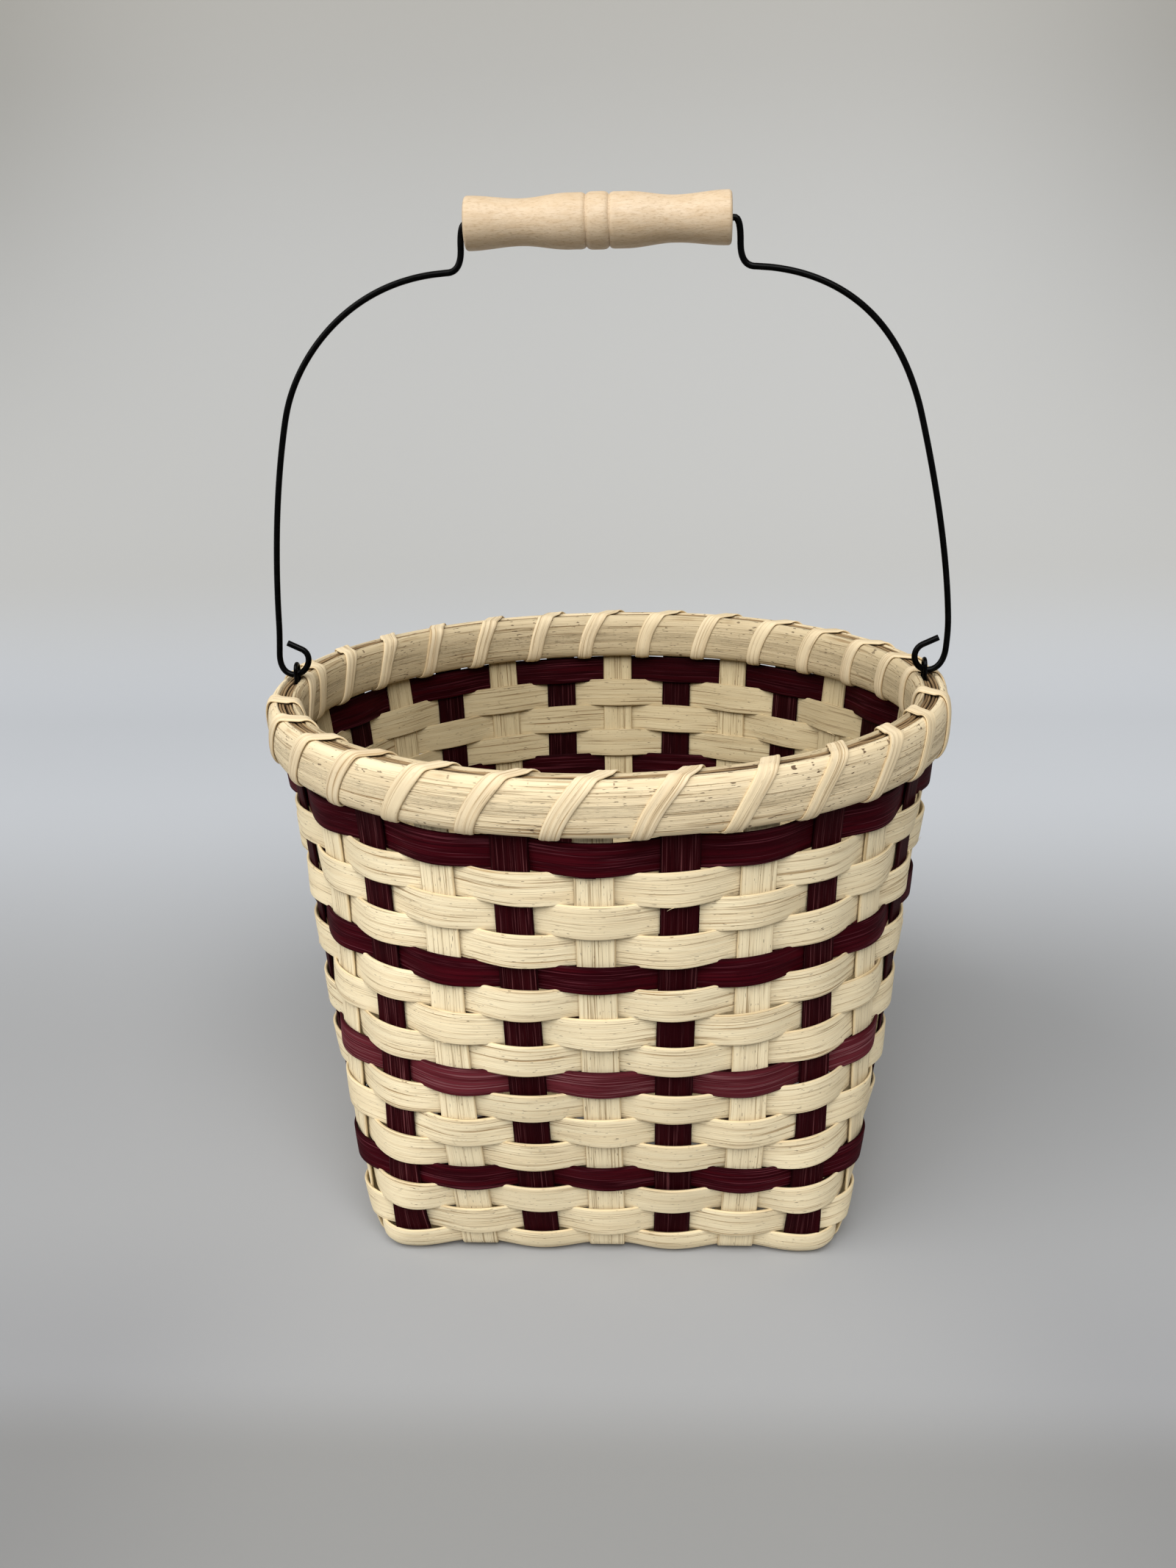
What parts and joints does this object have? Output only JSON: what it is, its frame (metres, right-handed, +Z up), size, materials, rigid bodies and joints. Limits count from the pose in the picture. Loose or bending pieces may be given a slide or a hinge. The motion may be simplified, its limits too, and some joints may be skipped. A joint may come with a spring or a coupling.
{
  "type": "snack basket",
  "caption": "Square-to-round basket plain-woven from flat reed, with a lashed rim, a swinging wire bail and a turned wooden grip.",
  "frame": {"origin": "on the floor under the middle of the base", "axes": "+Z up, +X towards the right-hand ear of the bail, +Y towards the back"},
  "size_m": [0.2535, 0.2536, 0.3641],
  "materials": {
    "natural_reed": "pale cream flat reed with fine grain lines along the strip",
    "dyed_reed": "burgundy dyed flat reed with lighter streaks along the grain",
    "rim_reed": "half-round reed, grainy, with small dark specks",
    "filler_strand": "tan-brown twisted strand",
    "lashing_reed": "smooth narrow flat reed",
    "turned_wood": "bare turned hardwood, fine close grain",
    "black_wire": "glossy black coated steel wire"
  },
  "bodies": {
    "basket": {"stake_front_to_back_1": "dyed_reed", "stake_front_to_back_2": "natural_reed", "stake_front_to_back_3": "dyed_reed", "stake_front_to_back_4": "natural_reed", "stake_front_to_back_5": "dyed_reed", "stake_front_to_back_6": "natural_reed", "stake_front_to_back_7": "dyed_reed", "stake_side_to_side_1": "natural_reed", "stake_side_to_side_2": "dyed_reed", "stake_side_to_side_3": "natural_reed", "stake_side_to_side_4": "dyed_reed", "stake_side_to_side_5": "natural_reed", "stake_side_to_side_6": "dyed_reed", "stake_side_to_side_7": "natural_reed", "weaver_row_01": "natural_reed", "weaver_row_02": "natural_reed", "weaver_row_03": "natural_reed", "weaver_row_04": "dyed_reed", "weaver_row_05": "natural_reed", "weaver_row_06": "natural_reed", "weaver_row_07": "natural_reed", "weaver_row_08": "dyed_reed", "weaver_row_09": "natural_reed", "weaver_row_10": "natural_reed", "weaver_row_11": "natural_reed", "weaver_row_12": "dyed_reed", "weaver_row_13": "natural_reed", "weaver_row_14": "natural_reed", "weaver_row_15": "natural_reed", "weaver_row_16": "dyed_reed", "weaver_row_17": "natural_reed", "rim_outer": "rim_reed", "rim_inner": "rim_reed", "rim_filler_outer": "filler_strand", "rim_filler_inner_back": "filler_strand", "rim_filler_inner_front": "filler_strand", "rim_lashing": "lashing_reed", "bail_ear_left": "black_wire", "bail_ear_right": "black_wire"},
    "bail": {"bail_wire": "black_wire"},
    "grip": {"wooden_grip": "turned_wood"}
  },
  "joints": [
    {"name": "bail_swing", "type": "hinge", "parent": "basket", "child": "bail", "pos_m": [0, 0, 0.1953], "axis": [1, 0, 0], "range_deg": [-90, 90]},
    {"name": "grip_spin", "type": "hinge", "parent": "bail", "child": "grip", "pos_m": [0, 0, 0.3541], "axis": [1, 0, 0], "continuous": true}
  ]
}
